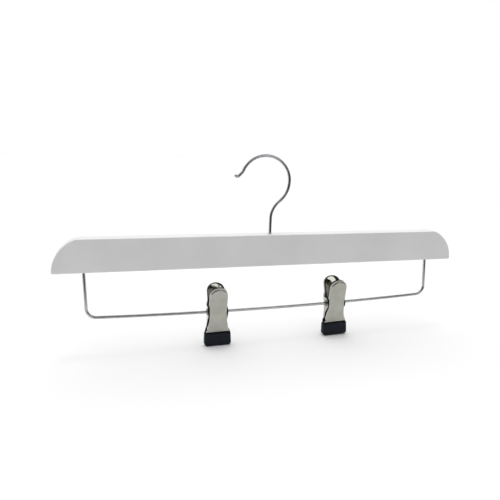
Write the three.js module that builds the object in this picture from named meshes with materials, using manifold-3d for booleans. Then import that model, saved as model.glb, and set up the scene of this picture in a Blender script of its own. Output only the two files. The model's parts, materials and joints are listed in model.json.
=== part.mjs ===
// Clip hanger: a painted wooden bar on a swivel hook, with a bent wire rail under it
// that carries two sprung clips for trousers or skirts.
// Millimetres. X runs along the bar, -Y is the front and +Z is up.
// The pieces are laid out from the middle of the bar's lower edge, and the finished
// hanger is moved so that the origin is where the hook rests on a wardrobe rail.

import * as THREE from 'three';
import { mergeVertices } from 'three/addons/utils/BufferGeometryUtils.js';
import Module from 'manifold-3d';

const wasm = await Module();
wasm.setup();

// Fits
const SEAT_GAP = 0.3;
const RUNNING_GAP = 0.3;

// Bar: a flat board whose upper corners are large round shoulders
const BAR_LENGTH = 420;
const BAR_HEIGHT = 32;
const BAR_THICKNESS = 14;
const SHOULDER_CREST = 2;
const BAR_FOOT_RADIUS = 1.6;
const BAR_EDGE_ROUND = 0.8;

// Hook: a wire form that swivels in the bar, headed over a washer in the bar's underside
const HOOK_WIRE = 3.0;
const HOOK_HEIGHT = 77.8;
const HOOK_RADIUS = 25;
const HOOK_OFFSET = -6.8;
const HOOK_NECK_RADIUS = 23;
const HOOK_MOUTH_ANGLE = 165;
const HOOK_TIP_RADIUS = 4;
const HOOK_TIP_TURN = 105;
const HOOK_TIP_LENGTH = 1;
const HOOK_HOLE_X = -1.4;
const HOOK_HEAD_DIAMETER = 5.6;
const HOOK_HEAD_HEIGHT = 1.8;
const WASHER_DIAMETER = 8.4;
const WASHER_THICKNESS = 1.0;
const COUNTERBORE_DEPTH = 7;

// Rail: one bent wire, its legs driven into the bar. It sits a little askew and bows down
const RAIL_WIRE = 3.0;
const RAIL_BEND_RADIUS = 9;
const RAIL_LEG_DEPTH = 16;
const RAIL_BOW = 3.7;
const RAIL_LEFT = { hole: -182.2, corner: -181.2, drop: 46.1 };
const RAIL_RIGHT = { hole: 182.7, corner: 186.0, drop: 41.7 };

// Clips: two pressed steel jaws on a hollow rivet that slides along the rail with a little play
const CLIP_LEFT_X = -54.4;
const CLIP_RIGHT_X = 75.8;
const CLIP_RISE = 0.2;
const CLIP_TILT = 1.2;
const SHEET = 0.8;
const SHEET_BEND = 1.3;
const CLIP_TOP = 27;
const HANDLE_WIDTH = 18;
const HANDLE_ARCH = 7.7;
const HANDLE_LEAN = 14.2;
const HANDLE_RIM = 4.9;
const RIM_RELIEF = 0.5;
const PIVOT_TO_FACE = 6.5;
const OUTER_WAIST = 20.4;
const NESTING_GAP = 0.4;
const INNER_EAR = { radius: 4.8, slant: 60 };
const OUTER_EAR = { radius: 6, slant: 38 };
const WAIST_REACH = 5.6;
const SHUT_GAP = 1.4;
const FLANGE_RUN_OUT = 3;
const FLARE_START = 8;
const FLARE_WIDTH = 26;
const FLARE_POWER = 1.7;
const JOGGLE_HEIGHT = 1.5;
const TOE_WIDTH = 23.0;
const TOE_CORNER = 2;
const EMBOSS_WIDTH = 9.4;
const EMBOSS_HEIGHT = 0.4;
const EMBOSS_SLOPE = 0.7;

// Hollow rivet
const RIVET_BORE = 4.8;
const RIVET_WALL = 0.4;
const RIVET_RIM = 0.8;
const RIVET_RIM_THICKNESS = 0.6;

// Torsion spring
const SPRING_WIRE = 1.2;
const SPRING_PITCH = 1.4;
const SPRING_WHOLE_TURNS = 4;
const SPRING_LEG = 17;

// Rubber boots on the jaws' toes
const BOOT_TOP_WIDTH = 26.9;
const BOOT_WIDTH = 27.8;
const BOOT_HEIGHT = 13.8;
const BOOT_TOP = -22.7;
const BOOT_THICKNESS = 3.4;
const BOOT_INNER_WALL = 0.9;
const BOOT_SOLE = 1.6;
const LIP_WIDTH = 25;
const LIP_RISE = 3.2;
const LIP_ROOT = 2;
const LIP_THICKNESS = 0.7;
const LIP_CORNER = 2.5;
const BOOT_CORNER = 3;
const BOOT_ROUND = 0.8;
const GRIP_GROOVES = 5;
const GRIP_PITCH = 2.2;
const GRIP_DEPTH = 0.5;

// Facets
const WIRE_SIDES = 12;
const SPRING_SIDES = 8;
const ROUND_SIDES = 24;
const CURVE_PARTS = 12;
const BEVEL_PARTS = 2;
const RUN_PARTS = 16;
const BEND_STEP = 10;
const COIL_STEP = 24;
const SHEET_BEND_TURNS = [0, 30, 60, 90];
const EAR_TURNS = [-10, 15, 40, 65, 80];
const ARCH_TURNS = [20, 40, 60, 78, 90];
const CORNER_TURNS = [0, 50, 90];
const PANEL_FOOT_SHARE = 0.7;
const PANEL_EDGE_SHARE = 0.6;
const FOOT_STEP = 0.05;
const SLOPE_BASE = 1;
const WELD = 1e-4;

const degrees = THREE.MathUtils.degToRad;

// A jaw's face comes down flush with its boot, steps in over the joggle and ends as a flat toe in the boot
const flushY = -(SEAT_GAP / 2 + BOOT_THICKNESS);
const toeOuterY = -(SEAT_GAP / 2 + BOOT_INNER_WALL + SEAT_GAP + SHEET);
const toeTip = BOOT_TOP - BOOT_HEIGHT + BOOT_SOLE + SEAT_GAP;
const flangeFoot = BOOT_TOP + SEAT_GAP;
const joggleTop = flangeFoot + JOGGLE_HEIGHT;
const handleFoot = 2 * WAIST_REACH;
const archFoot = CLIP_TOP - HANDLE_ARCH;
const lipTop = BOOT_TOP + LIP_RISE;
const flangeEnd = lipTop + SEAT_GAP;
const flangeFull = flangeEnd + FLANGE_RUN_OUT;
const rivetRadius = RIVET_BORE / 2 + RIVET_WALL;
const innerWaist = OUTER_WAIST - 2 * (SHEET + NESTING_GAP);

// Closed meshes and their cuts

function welded(geometry) {
  const bare = geometry.clone();
  for (const name of Object.keys(bare.attributes)) {
    if (name !== 'position') bare.deleteAttribute(name);
  }
  const merged = mergeVertices(bare, WELD);
  const index = merged.index.array;
  const kept = [];
  for (let i = 0; i < index.length; i += 3) {
    const [a, b, c] = [index[i], index[i + 1], index[i + 2]];
    if (a !== b && b !== c && c !== a) kept.push(a, b, c);
  }
  merged.setIndex(kept);
  return facingOut(merged);
}

function signedVolume(geometry) {
  const position = geometry.attributes.position;
  const index = geometry.index.array;
  const [a, b, c] = [new THREE.Vector3(), new THREE.Vector3(), new THREE.Vector3()];
  let volume = 0;
  for (let i = 0; i < index.length; i += 3) {
    a.fromBufferAttribute(position, index[i]);
    b.fromBufferAttribute(position, index[i + 1]);
    c.fromBufferAttribute(position, index[i + 2]);
    volume += a.dot(b.cross(c)) / 6;
  }
  return volume;
}

function facingOut(geometry) {
  if (signedVolume(geometry) < 0) {
    const index = geometry.index.array;
    for (let i = 0; i < index.length; i += 3) {
      [index[i], index[i + 1]] = [index[i + 1], index[i]];
    }
  }
  return geometry;
}

function solid(geometry) {
  const closed = welded(geometry);
  return new wasm.Manifold(new wasm.Mesh({
    numProp: 3,
    vertProperties: Float32Array.from(closed.attributes.position.array),
    triVerts: Uint32Array.from(closed.index.array),
  }));
}

function geometryOf(manifold) {
  const mesh = manifold.getMesh();
  const geometry = new THREE.BufferGeometry();
  geometry.setAttribute('position', new THREE.BufferAttribute(mesh.vertProperties, 3));
  geometry.setIndex(new THREE.BufferAttribute(mesh.triVerts, 1));
  return geometry;
}

function cut(geometry, tools) {
  let body = solid(geometry);
  for (const tool of tools) body = body.subtract(solid(tool));
  return geometryOf(body);
}

function join(geometry, other) {
  return geometryOf(solid(geometry).add(solid(other)));
}

// Basic forms

function rod(radius, from, to, sides = ROUND_SIDES) {
  const along = new THREE.Vector3().subVectors(to, from);
  const geometry = new THREE.CylinderGeometry(radius, radius, along.length(), sides);
  const upright = new THREE.Vector3(0, 1, 0);
  geometry.applyQuaternion(new THREE.Quaternion().setFromUnitVectors(upright, along.normalize()));
  const middle = new THREE.Vector3().addVectors(from, to).multiplyScalar(0.5);
  return geometry.translate(middle.x, middle.y, middle.z);
}

function uprightRod(radius, x, low, high) {
  return rod(radius, new THREE.Vector3(x, 0, low), new THREE.Vector3(x, 0, high));
}

// A front-view outline given thickness along Y, from front to back, with rounded edges
function slab(outline, front, back, round) {
  const depth = back - front - 2 * round;
  const geometry = new THREE.ExtrudeGeometry(outline, {
    depth,
    bevelEnabled: true,
    bevelThickness: round,
    bevelSize: round,
    bevelOffset: -round,
    bevelSegments: BEVEL_PARTS,
    curveSegments: CURVE_PARTS,
  });
  geometry.rotateX(Math.PI / 2);
  return geometry.translate(0, back - round, 0);
}

// A path that is sampled exactly at its stations, which lie closer together in the bends
class StationPath extends THREE.Curve {
  constructor(stations) {
    super();
    this.stations = stations;
  }

  stationAt(u) {
    return this.stations[Math.round(u * (this.stations.length - 1))];
  }

  getPointAt(u, target = new THREE.Vector3()) {
    return target.copy(this.stationAt(u).point);
  }

  getTangentAt(u, target = new THREE.Vector3()) {
    return target.copy(this.stationAt(u).tangent);
  }
}

function sweptWire(stations, diameter, sides) {
  const section = new THREE.Shape().absarc(0, 0, diameter / 2, 0, 2 * Math.PI);
  return new THREE.ExtrudeGeometry(section, {
    steps: stations.length - 1,
    curveSegments: sides / 2,
    extrudePath: new StationPath(stations),
  });
}

// A flat wire form made the way a bender makes it: straight feeds and bends, left turns positive
class WireForm {
  constructor(x, z, heading) {
    this.x = x;
    this.z = z;
    this.heading = heading;
    this.stations = [];
    this.mark();
  }

  mark() {
    this.stations.push({
      point: new THREE.Vector3(this.x, 0, this.z),
      tangent: new THREE.Vector3(Math.cos(this.heading), 0, Math.sin(this.heading)),
    });
  }

  feed(length, parts = 1) {
    for (let i = 0; i < parts; i++) {
      this.x += (length / parts) * Math.cos(this.heading);
      this.z += (length / parts) * Math.sin(this.heading);
      this.mark();
    }
    return this;
  }

  bend(radius, turn) {
    const side = Math.sign(turn);
    const centreX = this.x - side * radius * Math.sin(this.heading);
    const centreZ = this.z + side * radius * Math.cos(this.heading);
    const parts = Math.max(2, Math.ceil(Math.abs(turn) / degrees(BEND_STEP)));
    for (let i = 0; i < parts; i++) {
      this.heading += turn / parts;
      this.x = centreX + side * radius * Math.sin(this.heading);
      this.z = centreZ - side * radius * Math.cos(this.heading);
      this.mark();
    }
    return this;
  }
}

// Bar

function barOutline() {
  const half = BAR_LENGTH / 2;
  const radius = BAR_HEIGHT + SHOULDER_CREST;
  const centre = half - radius;
  const low = Math.asin(BAR_FOOT_RADIUS / radius);
  const high = Math.asin(BAR_HEIGHT / radius);
  const outline = new THREE.Shape();
  outline.moveTo(-half + BAR_FOOT_RADIUS, 0);
  outline.lineTo(half - BAR_FOOT_RADIUS, 0);
  outline.quadraticCurveTo(half, 0, centre + radius * Math.cos(low), BAR_FOOT_RADIUS);
  outline.absarc(centre, 0, radius, low, high, false);
  outline.absarc(-centre, 0, radius, Math.PI - high, Math.PI - low, false);
  outline.quadraticCurveTo(-half, 0, -half + BAR_FOOT_RADIUS, 0);
  return outline;
}

function barGeometry() {
  const board = slab(barOutline(), -BAR_THICKNESS / 2, BAR_THICKNESS / 2, BAR_EDGE_ROUND);
  const past = BAR_EDGE_ROUND;
  const holes = [
    uprightRod(HOOK_WIRE / 2 + RUNNING_GAP, HOOK_HOLE_X, -past, BAR_HEIGHT + past),
    uprightRod(WASHER_DIAMETER / 2 + SEAT_GAP, HOOK_HOLE_X, -past, COUNTERBORE_DEPTH),
  ];
  for (const side of [RAIL_LEFT, RAIL_RIGHT]) {
    const mouth = legPoint(side, -past);
    const end = legPoint(side, RAIL_LEG_DEPTH + SEAT_GAP);
    holes.push(rod(RAIL_WIRE / 2 + SEAT_GAP, mouth, end, WIRE_SIDES));
  }
  return cut(board, holes);
}

// Hook

const washerTop = COUNTERBORE_DEPTH - SEAT_GAP;
const headTop = washerTop - WASHER_THICKNESS - RUNNING_GAP;
const hookCentreZ = BAR_HEIGHT + HOOK_HEIGHT - HOOK_RADIUS;
const hookCentreX = HOOK_HOLE_X + HOOK_OFFSET;

function hookGeometry() {
  const aside = HOOK_NECK_RADIUS - HOOK_OFFSET;
  const apart = HOOK_RADIUS + HOOK_NECK_RADIUS;
  const neckTurn = Math.acos(aside / apart);
  const neckZ = hookCentreZ - apart * Math.sin(neckTurn);
  const shankFoot = headTop - HOOK_HEAD_HEIGHT / 2;
  const form = new WireForm(HOOK_HOLE_X, shankFoot, Math.PI / 2);
  form.feed(neckZ - shankFoot);
  form.bend(HOOK_NECK_RADIUS, -neckTurn);
  form.bend(HOOK_RADIUS, degrees(HOOK_MOUTH_ANGLE) + neckTurn);
  form.bend(HOOK_TIP_RADIUS, -degrees(HOOK_TIP_TURN));
  form.feed(HOOK_TIP_LENGTH);
  const wire = sweptWire(form.stations, HOOK_WIRE, WIRE_SIDES);
  const head = uprightRod(HOOK_HEAD_DIAMETER / 2, HOOK_HOLE_X, headTop - HOOK_HEAD_HEIGHT, headTop);
  return join(wire, head);
}

function washerGeometry() {
  const inner = HOOK_WIRE / 2 + RUNNING_GAP;
  const outer = WASHER_DIAMETER / 2;
  const profile = [
    new THREE.Vector2(inner, washerTop - WASHER_THICKNESS),
    new THREE.Vector2(outer, washerTop - WASHER_THICKNESS),
    new THREE.Vector2(outer, washerTop),
    new THREE.Vector2(inner, washerTop),
    new THREE.Vector2(inner, washerTop - WASHER_THICKNESS),
  ];
  const ring = new THREE.LatheGeometry(profile, ROUND_SIDES);
  return ring.rotateX(Math.PI / 2).translate(HOOK_HOLE_X, 0, 0);
}

// Rail

// The line of a leg, from its corner on the run up into the bar
function legPoint(side, z) {
  const x = side.hole + (side.hole - side.corner) * (z / side.drop);
  return new THREE.Vector3(x, 0, z);
}

function bowAt(x) {
  const along = (x - RAIL_LEFT.corner) / (RAIL_RIGHT.corner - RAIL_LEFT.corner);
  const inside = THREE.MathUtils.clamp(along, 0, 1);
  return 4 * RAIL_BOW * inside * (1 - inside);
}

function railHeight(x) {
  const span = RAIL_RIGHT.corner - RAIL_LEFT.corner;
  const along = (x - RAIL_LEFT.corner) / span;
  return THREE.MathUtils.lerp(-RAIL_LEFT.drop, -RAIL_RIGHT.drop, along) - bowAt(x);
}

function railSlope(x) {
  return (railHeight(x + SLOPE_BASE / 2) - railHeight(x - SLOPE_BASE / 2)) / SLOPE_BASE;
}

function railStations() {
  const corners = [
    legPoint(RAIL_LEFT, RAIL_LEG_DEPTH),
    legPoint(RAIL_LEFT, -RAIL_LEFT.drop),
    legPoint(RAIL_RIGHT, -RAIL_RIGHT.drop),
    legPoint(RAIL_RIGHT, RAIL_LEG_DEPTH),
  ];
  const lengths = [];
  const headings = [];
  for (let i = 0; i < 3; i++) {
    const step = new THREE.Vector3().subVectors(corners[i + 1], corners[i]);
    lengths.push(step.length());
    headings.push(Math.atan2(step.z, step.x));
  }
  const turns = [headings[1] - headings[0], headings[2] - headings[1]];
  const setbacks = turns.map((turn) => RAIL_BEND_RADIUS * Math.tan(turn / 2));
  const form = new WireForm(corners[0].x, corners[0].z, headings[0]);
  form.feed(lengths[0] - setbacks[0]);
  form.bend(RAIL_BEND_RADIUS, turns[0]);
  form.feed(lengths[1] - setbacks[0] - setbacks[1], RUN_PARTS);
  form.bend(RAIL_BEND_RADIUS, turns[1]);
  form.feed(lengths[2] - setbacks[1]);
  for (const { point } of form.stations) point.z -= bowAt(point.x);
  return form.stations;
}

function railGeometry() {
  return sweptWire(railStations(), RAIL_WIRE, WIRE_SIDES);
}

// Clip jaws

// Outer face of the front jaw in the side view
function faceY(z) {
  const { clamp, lerp } = THREE.MathUtils;
  if (z >= 0) return -PIVOT_TO_FACE - z * Math.tan(degrees(HANDLE_LEAN));
  if (z < joggleTop) return lerp(flushY, toeOuterY, clamp((joggleTop - z) / JOGGLE_HEIGHT, 0, 1));
  return lerp(-PIVOT_TO_FACE, flushY, clamp((-z - WAIST_REACH) / (-joggleTop - WAIST_REACH), 0, 1));
}

// An ear is round above and leaves its circle along a slanted line, down to the shut line
function earTangentZ(ear) {
  return -ear.radius * Math.sin(degrees(ear.slant));
}

function earFootZ(ear) {
  return -(ear.radius + (SHUT_GAP / 2) * Math.cos(degrees(ear.slant))) / Math.sin(degrees(ear.slant));
}

function earEdge(z, ear) {
  if (z > earTangentZ(ear)) return Math.sqrt(Math.max(0, ear.radius ** 2 - z ** 2));
  return (ear.radius + z * Math.sin(degrees(ear.slant))) / Math.cos(degrees(ear.slant));
}

// Free edge of the front jaw's side flange: a handle's rim above, an ear round the pivot,
// a shut line below, and a run-out that leaves the face flat where the boot starts
function flangeEdge(z, ear) {
  const { clamp, lerp } = THREE.MathUtils;
  if (z > ear.radius) {
    const along = (z - ear.radius) / (CLIP_TOP - ear.radius);
    return faceY(z) + lerp(PIVOT_TO_FACE - RIM_RELIEF, HANDLE_RIM, along);
  }
  if (z > earFootZ(ear)) return earEdge(z, ear);
  const full = clamp((z - flangeEnd) / FLANGE_RUN_OUT, 0, 1);
  return lerp(faceY(z) + SHEET, -SHUT_GAP / 2, full);
}

// How far the flange rises for its depth: level at the ears, and square to the leaning face along the handle
function flangeRise(z, ear) {
  const square = THREE.MathUtils.clamp((z - ear.radius) / (handleFoot - ear.radius), 0, 1);
  return square * Math.tan(degrees(HANDLE_LEAN));
}

// How far a rounded lower corner draws the outline in, at a height above the corner's foot
function cornerInset(radius, height) {
  const below = THREE.MathUtils.clamp(radius - height, 0, radius);
  return radius - Math.sqrt(radius ** 2 - below ** 2);
}

function cornerLevels(radius, foot) {
  return CORNER_TURNS.map((turn) => foot + radius * (1 - Math.cos(degrees(turn))));
}

// The toe has round corners, and the flare's lower corners are rounded over the height of the joggle
function jawHalfWidth(z, waist) {
  if (z < flangeFoot) return TOE_WIDTH / 2 - cornerInset(TOE_CORNER, z - toeTip);
  if (z < -FLARE_START) {
    const along = (-z - FLARE_START) / (-flangeFoot - FLARE_START);
    const flare = THREE.MathUtils.lerp(waist, FLARE_WIDTH, along ** FLARE_POWER) / 2;
    return flare - cornerInset(JOGGLE_HEIGHT, z - flangeFoot);
  }
  const blend = THREE.MathUtils.smoothstep(z, WAIST_REACH, handleFoot);
  return THREE.MathUtils.lerp(waist, HANDLE_WIDTH, blend) / 2;
}

// Heights of the pressing's cross-sections, from the toe up. The handle's arch follows them
function jawLevels(ear) {
  const levels = cornerLevels(TOE_CORNER, toeTip);
  levels.push(flangeFoot - FOOT_STEP, ...cornerLevels(JOGGLE_HEIGHT, flangeFoot));
  levels.push(flangeEnd, (flangeEnd + flangeFull) / 2, flangeFull, (flangeFull + earFootZ(ear)) / 2);
  levels.push(earFootZ(ear), earTangentZ(ear));
  for (const turn of EAR_TURNS) {
    levels.push(ear.radius * Math.sin(degrees(turn)));
  }
  levels.push(ear.radius + FOOT_STEP, (WAIST_REACH + handleFoot) / 2, handleFoot, archFoot);
  return levels;
}

// One cross-section of the pressing: half of it, from the flange's edge to the middle of the face
function jawSection(z, ear, halfWidth, inset, embossed) {
  const face = faceY(z) + inset;
  const edge = Math.max(flangeEdge(z, ear), face);
  const width = Math.max(halfWidth, 0);
  const round = Math.max(0, Math.min(SHEET_BEND - inset, width / 2, edge - face));
  const points = [[width, edge]];
  for (const turn of SHEET_BEND_TURNS) {
    const x = width - round + round * Math.cos(degrees(turn));
    const y = face + round - round * Math.sin(degrees(turn));
    points.push([x, y]);
  }
  const flat = width - round;
  const lift = embossed ? EMBOSS_HEIGHT : 0;
  points.push([Math.min(EMBOSS_WIDTH / 2 + EMBOSS_SLOPE, PANEL_FOOT_SHARE * flat), face]);
  points.push([Math.min(EMBOSS_WIDTH / 2, PANEL_EDGE_SHARE * flat), face - lift]);
  return points.map(([x, y]) => new THREE.Vector3(x, y, z + flangeRise(z, ear) * (y - faceY(z))));
}

function jawSurface(waist, ear, inset) {
  const sections = jawLevels(ear).map((z) => {
    const embossed = z > joggleTop && z < -WAIST_REACH;
    return jawSection(z, ear, jawHalfWidth(z, waist) - inset, inset, embossed);
  });
  for (const turn of ARCH_TURNS) {
    const z = archFoot + (HANDLE_ARCH - inset) * Math.sin(degrees(turn));
    const halfWidth = (HANDLE_WIDTH / 2 - inset) * Math.cos(degrees(turn));
    sections.push(jawSection(z, ear, turn === 90 ? 0 : halfWidth, inset, false));
  }
  return sections.map((half) => {
    const mirrored = half.map((p) => new THREE.Vector3(-p.x, p.y, p.z)).reverse();
    return [...half, ...mirrored];
  });
}

function jawGeometry(waist, ear) {
  const outer = jawSurface(waist, ear, 0);
  const inner = jawSurface(waist, ear, SHEET);
  const positions = [];
  const quad = (a, b, c, d) => {
    for (const p of [a, b, c, a, c, d]) positions.push(p.x, p.y, p.z);
  };
  const rows = outer.length;
  const columns = outer[0].length;
  for (let i = 0; i + 1 < rows; i++) {
    for (let j = 0; j + 1 < columns; j++) {
      quad(outer[i][j], outer[i][j + 1], outer[i + 1][j + 1], outer[i + 1][j]);
      quad(inner[i][j + 1], inner[i][j], inner[i + 1][j], inner[i + 1][j + 1]);
    }
    quad(inner[i][0], outer[i][0], outer[i + 1][0], inner[i + 1][0]);
    quad(outer[i].at(-1), inner[i].at(-1), inner[i + 1].at(-1), outer[i + 1].at(-1));
  }
  for (let j = 0; j + 1 < columns; j++) {
    quad(inner[0][j], inner[0][j + 1], outer[0][j + 1], outer[0][j]);
  }
  const sheet = new THREE.BufferGeometry();
  sheet.setAttribute('position', new THREE.Float32BufferAttribute(positions, 3));
  const past = new THREE.Vector3(FLARE_WIDTH, 0, 0);
  const hole = rod(rivetRadius + RUNNING_GAP, past.clone().negate(), past);
  return cut(sheet, [hole]);
}

// Hollow rivet, with its rims rolled over outside the outer ears

function rivetGeometry() {
  const rimInside = OUTER_WAIST / 2 + SEAT_GAP;
  const end = rimInside + RIVET_RIM_THICKNESS;
  const bore = RIVET_BORE / 2;
  const rim = rivetRadius + RIVET_RIM;
  const roll = RIVET_RIM_THICKNESS / 2;
  const halfProfile = [
    [rivetRadius, rimInside],
    [rim, rimInside],
    [rim, end - roll],
    [rim - roll, end],
    [bore + roll, end],
    [bore, end - roll],
  ];
  const profile = [
    ...halfProfile.map(([r, h]) => new THREE.Vector2(r, h)),
    ...halfProfile.map(([r, h]) => new THREE.Vector2(r, -h)).reverse(),
  ];
  profile.push(profile[0].clone());
  return new THREE.LatheGeometry(profile, ROUND_SIDES).rotateZ(Math.PI / 2);
}

// Torsion spring: a coil round the rivet whose legs splay until their tips press on the handles' insides

function springStations() {
  const handleLean = degrees(HANDLE_LEAN);
  const tipSeat = PIVOT_TO_FACE * Math.cos(handleLean) - SHEET - SEAT_GAP - SPRING_WIRE / 2;
  const radius = rivetRadius + RUNNING_GAP + SPRING_WIRE / 2;
  const lean = handleLean + Math.asin((tipSeat - radius) / SPRING_LEG);
  const sweep = Math.PI - 2 * lean + 2 * Math.PI * SPRING_WHOLE_TURNS;
  const length = (SPRING_PITCH * sweep) / (2 * Math.PI);
  const parts = Math.ceil(sweep / degrees(COIL_STEP));
  const coil = [];
  for (let i = 0; i <= parts; i++) {
    const share = i / parts;
    const turn = Math.PI + lean + share * sweep;
    coil.push({
      point: new THREE.Vector3((share - 0.5) * length, radius * Math.cos(turn), radius * Math.sin(turn)),
      tangent: new THREE.Vector3(length / sweep / radius, -Math.sin(turn), Math.cos(turn)).normalize(),
    });
  }
  const frontUp = new THREE.Vector3(0, -Math.sin(lean), Math.cos(lean));
  const backUp = new THREE.Vector3(0, Math.sin(lean), Math.cos(lean));
  const frontTip = coil[0].point.clone().addScaledVector(frontUp, SPRING_LEG);
  const backTip = coil.at(-1).point.clone().addScaledVector(backUp, SPRING_LEG);
  return [
    { point: frontTip, tangent: frontUp.clone().negate() },
    ...coil,
    { point: backTip, tangent: backUp },
  ];
}

function springGeometry() {
  return sweptWire(springStations(), SPRING_WIRE, SPRING_SIDES);
}

// Rubber boot of the front jaw

function bootOutline() {
  const bottom = BOOT_TOP - BOOT_HEIGHT;
  const top = BOOT_TOP_WIDTH / 2;
  const wide = BOOT_WIDTH / 2;
  const outline = new THREE.Shape();
  outline.moveTo(-wide + BOOT_CORNER, bottom);
  outline.lineTo(wide - BOOT_CORNER, bottom);
  outline.quadraticCurveTo(wide, bottom, wide, bottom + BOOT_CORNER);
  outline.lineTo(top, BOOT_TOP);
  outline.lineTo(-top, BOOT_TOP);
  outline.lineTo(-wide, bottom + BOOT_CORNER);
  outline.quadraticCurveTo(-wide, bottom, -wide + BOOT_CORNER, bottom);
  return outline;
}

// Thin lip of the boot's inner wall, which stands up between the jaws behind the face
function lipGeometry(back) {
  const centreX = LIP_WIDTH / 2 - LIP_CORNER;
  const centreZ = lipTop - LIP_CORNER;
  const right = CORNER_TURNS.map((turn) => new THREE.Vector2(
    centreX + LIP_CORNER * Math.cos(degrees(turn)),
    centreZ + LIP_CORNER * Math.sin(degrees(turn)),
  ));
  right.unshift(new THREE.Vector2(LIP_WIDTH / 2, BOOT_TOP - LIP_ROOT));
  const left = right.map((p) => new THREE.Vector2(-p.x, p.y)).reverse();
  const outline = new THREE.Shape([...right, ...left]);
  const lip = new THREE.ExtrudeGeometry(outline, { depth: LIP_THICKNESS, bevelEnabled: false });
  return lip.rotateX(Math.PI / 2).translate(0, back - (BOOT_INNER_WALL - LIP_THICKNESS) / 2, 0);
}

function bootGeometry() {
  const back = -SEAT_GAP / 2;
  const body = slab(bootOutline(), back - BOOT_THICKNESS, back, BOOT_ROUND);
  const pocketDepth = BOOT_HEIGHT - BOOT_SOLE;
  const pocket = new THREE.BoxGeometry(TOE_WIDTH + 2 * SEAT_GAP, SHEET + 2 * SEAT_GAP, 2 * pocketDepth);
  pocket.translate(0, toeOuterY + SHEET / 2, BOOT_TOP);
  const cuts = [pocket];
  const middle = BOOT_TOP - BOOT_HEIGHT / 2;
  for (let i = 0; i < GRIP_GROOVES; i++) {
    const groove = new THREE.BoxGeometry(TOE_WIDTH, Math.SQRT2 * GRIP_DEPTH, Math.SQRT2 * GRIP_DEPTH);
    groove.rotateX(Math.PI / 4);
    groove.translate(0, back, middle + (i - (GRIP_GROOVES - 1) / 2) * GRIP_PITCH);
    cuts.push(groove);
  }
  return cut(join(body, lipGeometry(back)), cuts);
}

// Materials and assembly

const finishes = {
  paint: { color: 0xeeeeec, roughness: 0.45, metalness: 0 },
  chrome: { color: 0xc9cacc, roughness: 0.12, metalness: 1 },
  zinc: { color: 0xa9acae, roughness: 0.4, metalness: 1 },
  nickel: { color: 0xb7b5aa, roughness: 0.3, metalness: 1 },
  springSteel: { color: 0x8f9092, roughness: 0.35, metalness: 1 },
  rubber: { color: 0x1d2129, roughness: 0.75, metalness: 0 },
};

function piece(name, geometry, finish) {
  const mesh = new THREE.Mesh(welded(geometry), new THREE.MeshStandardMaterial(finishes[finish]));
  mesh.name = name;
  return mesh;
}

// The back jaw and its boot are the front ones turned half round, the jaw with outer ears
function turned(mesh) {
  mesh.rotation.z = Math.PI;
  return mesh;
}

function clip(side, x) {
  const group = new THREE.Group();
  group.position.set(x, 0, railHeight(x) + CLIP_RISE);
  group.rotation.y = -Math.atan(railSlope(x)) - degrees(CLIP_TILT);
  group.add(
    piece(`${side}_clip_rivet`, rivetGeometry(), 'nickel'),
    piece(`${side}_front_jaw`, jawGeometry(innerWaist, INNER_EAR), 'nickel'),
    turned(piece(`${side}_back_jaw`, jawGeometry(OUTER_WAIST, OUTER_EAR), 'nickel')),
    piece(`${side}_clip_spring`, springGeometry(), 'springSteel'),
    piece(`${side}_front_boot`, bootGeometry(), 'rubber'),
    turned(piece(`${side}_back_boot`, bootGeometry(), 'rubber')),
  );
  return group;
}

const hanger = new THREE.Group();
hanger.add(
  piece('hanger_bar', barGeometry(), 'paint'),
  piece('hook', hookGeometry(), 'chrome'),
  piece('hook_washer', washerGeometry(), 'zinc'),
  piece('clip_rail', railGeometry(), 'chrome'),
  clip('left', CLIP_LEFT_X),
  clip('right', CLIP_RIGHT_X),
);
hanger.position.set(-hookCentreX, 0, -(BAR_HEIGHT + HOOK_HEIGHT - HOOK_WIRE / 2));

const clipHanger = new THREE.Group();
clipHanger.add(hanger);

export default clipHanger;
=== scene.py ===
import json
import math

import bmesh
import bpy
from mathutils import Matrix, Vector


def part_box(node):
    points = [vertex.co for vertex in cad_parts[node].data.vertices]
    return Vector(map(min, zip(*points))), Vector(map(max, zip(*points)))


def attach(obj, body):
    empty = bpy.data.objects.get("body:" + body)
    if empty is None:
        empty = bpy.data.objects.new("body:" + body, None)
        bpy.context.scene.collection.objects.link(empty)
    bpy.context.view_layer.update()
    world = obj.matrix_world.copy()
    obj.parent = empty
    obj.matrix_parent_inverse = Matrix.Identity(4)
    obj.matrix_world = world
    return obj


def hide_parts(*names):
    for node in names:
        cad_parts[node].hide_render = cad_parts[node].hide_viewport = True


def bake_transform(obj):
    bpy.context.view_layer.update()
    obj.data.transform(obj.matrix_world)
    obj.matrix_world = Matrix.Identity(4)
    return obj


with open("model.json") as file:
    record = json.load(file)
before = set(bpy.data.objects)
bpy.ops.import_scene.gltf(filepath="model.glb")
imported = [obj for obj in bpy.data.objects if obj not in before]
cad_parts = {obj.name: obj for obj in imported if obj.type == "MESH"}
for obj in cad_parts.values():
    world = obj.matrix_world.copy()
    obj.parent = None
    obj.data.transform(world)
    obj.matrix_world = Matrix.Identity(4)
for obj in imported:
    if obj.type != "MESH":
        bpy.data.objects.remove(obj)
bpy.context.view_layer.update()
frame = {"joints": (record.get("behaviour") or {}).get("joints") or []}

# Pieces are laid out in millimetres and placed in the frame's metres. Their sizes are the solids',
# except at the hook's tip and the boots' lips, which are drawn closer to the photograph
MM = 0.001

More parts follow.
